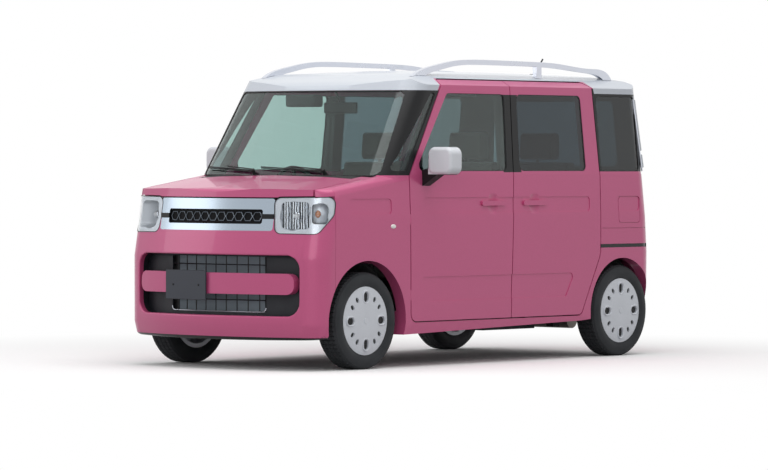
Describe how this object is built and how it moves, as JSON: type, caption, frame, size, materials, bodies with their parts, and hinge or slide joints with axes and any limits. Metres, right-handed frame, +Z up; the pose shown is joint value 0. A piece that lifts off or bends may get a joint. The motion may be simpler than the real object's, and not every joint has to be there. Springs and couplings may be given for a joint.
{
  "type": "kei car",
  "caption": "Boxy small passenger car with opening front doors, bonnet and tailgate, steered front wheels and a hollow cabin with seats.",
  "frame": {"origin": "on the ground, below the middle of the car's length and width", "axes": "+X to the car's left, +Y to the rear, so the car faces -Y, +Z up"},
  "size_m": [1.904, 3.395, 1.8393],
  "materials": {
    "body_paint": "metallic paint",
    "roof_paint": "gloss white paint",
    "window_glass": "tinted glass",
    "rail_silver": "satin anodised",
    "lamp_lens": "clear moulded",
    "lamp_chrome": "bright reflector",
    "grille_chrome": "bright plated",
    "black_plastic": "grained black",
    "tail_red": "red moulded lens",
    "underbody": "black coated steel",
    "radiator_metal": "dull finned",
    "engine_metal": "cast",
    "exhaust_steel": "plain steel",
    "dash_plastic": "grained",
    "seat_fabric": "woven",
    "tyre_rubber": "black rubber",
    "cover_silver": "silver painted"
  },
  "bodies": {
    "chassis": {"antenna": "black_plastic", "body_side_left": "body_paint", "body_side_right": "body_paint", "bumper_bar": "body_paint", "dashboard": "dash_plastic", "engine_block": "engine_metal", "exhaust": "exhaust_steel", "floor_pan": "underbody", "front_body_frame": "underbody", "front_bumper": "body_paint", "front_fender_left": "body_paint", "front_fender_right": "body_paint", "front_seats": "seat_fabric", "front_subframe": "underbody", "fuel_tank": "black_plastic", "grille_insert": "black_plastic", "headlamp_lenses": "lamp_lens", "headlamps": "lamp_chrome", "lower_grille": "black_plastic", "quarter_glass": "window_glass", "radiator": "radiator_metal", "rear_axle": "underbody", "rear_bumper": "body_paint", "rear_seat": "seat_fabric", "roof_panel": "roof_paint", "roof_rails": "rail_silver", "sliding_door_glass": "window_glass", "sliding_door_left": "body_paint", "sliding_door_right": "body_paint", "tail_lamps": "tail_red", "upper_grille": "grille_chrome", "windscreen": "window_glass"},
    "bonnet": {"bonnet": "body_paint"},
    "door_left": {"front_door_left": "body_paint", "front_door_glass_left": "window_glass", "mirror_left": "roof_paint"},
    "door_right": {"front_door_right": "body_paint", "front_door_glass_right": "window_glass", "mirror_right": "roof_paint"},
    "tailgate": {"tailgate": "body_paint", "tailgate_glass": "window_glass"},
    "steering_wheel": {"steering_wheel": "dash_plastic"},
    "knuckle_left": {"knuckle_left": "underbody"},
    "knuckle_right": {"knuckle_right": "underbody"},
    "wheel_front_left": {"tyre_front_left": "tyre_rubber", "wheel_front_left": "cover_silver"},
    "wheel_front_right": {"tyre_front_right": "tyre_rubber", "wheel_front_right": "cover_silver"},
    "wheel_rear_left": {"tyre_rear_left": "tyre_rubber", "wheel_rear_left": "cover_silver"},
    "wheel_rear_right": {"tyre_rear_right": "tyre_rubber", "wheel_rear_right": "cover_silver"}
  },
  "joints": [
    {"name": "bonnet_hinge", "type": "hinge", "parent": "chassis", "child": "bonnet", "pos_m": [0, -1.11186, 1.112], "axis": [-1, 0, 0], "range_deg": [0, 50]},
    {"name": "door_left_hinge", "type": "hinge", "parent": "chassis", "child": "door_left", "pos_m": [0.7345, -0.74623, 0.7], "axis": [0, 0.0177, -0.9998], "range_deg": [0, 70]},
    {"name": "door_right_hinge", "type": "hinge", "parent": "chassis", "child": "door_right", "pos_m": [-0.7345, -0.74623, 0.7], "axis": [0, -0.0177, 0.9998], "range_deg": [0, 70]},
    {"name": "tailgate_hinge", "type": "hinge", "parent": "chassis", "child": "tailgate", "pos_m": [0, 1.51213, 1.697], "axis": [1, 0, 0], "range_deg": [0, 80]},
    {"name": "steer_left", "type": "hinge", "parent": "chassis", "child": "knuckle_left", "pos_m": [0.59, -1.1325, 0.207], "axis": [-0.1536, 0, 0.9881], "range_deg": [-35, 35]},
    {"name": "steer_right", "type": "hinge", "parent": "chassis", "child": "knuckle_right", "pos_m": [-0.59, -1.1325, 0.207], "axis": [0.1536, 0, 0.9881], "range_deg": [-35, 35]},
    {"name": "steering_wheel_turn", "type": "hinge", "parent": "chassis", "child": "steering_wheel", "pos_m": [-0.33999, -0.46987, 0.98496], "axis": [0, 0.9294, 0.369], "range_deg": [-600, 600]},
    {"name": "roll_front_left", "type": "hinge", "parent": "knuckle_left", "child": "wheel_front_left", "pos_m": [0.6475, -1.1325, 0.2785], "axis": [1, 0, 0], "continuous": true},
    {"name": "roll_front_right", "type": "hinge", "parent": "knuckle_right", "child": "wheel_front_right", "pos_m": [-0.6475, -1.1325, 0.2785], "axis": [1, 0, 0], "continuous": true},
    {"name": "roll_rear_left", "type": "hinge", "parent": "chassis", "child": "wheel_rear_left", "pos_m": [0.65, 1.3275, 0.2785], "axis": [1, 0, 0], "continuous": true},
    {"name": "roll_rear_right", "type": "hinge", "parent": "chassis", "child": "wheel_rear_right", "pos_m": [-0.65, 1.3275, 0.2785], "axis": [1, 0, 0], "continuous": true}
  ],
  "couplings": [
    {"joint": "steer_right", "follows": "steer_left", "ratio": 1},
    {"joint": "steering_wheel_turn", "follows": "steer_left", "ratio": 17}
  ]
}
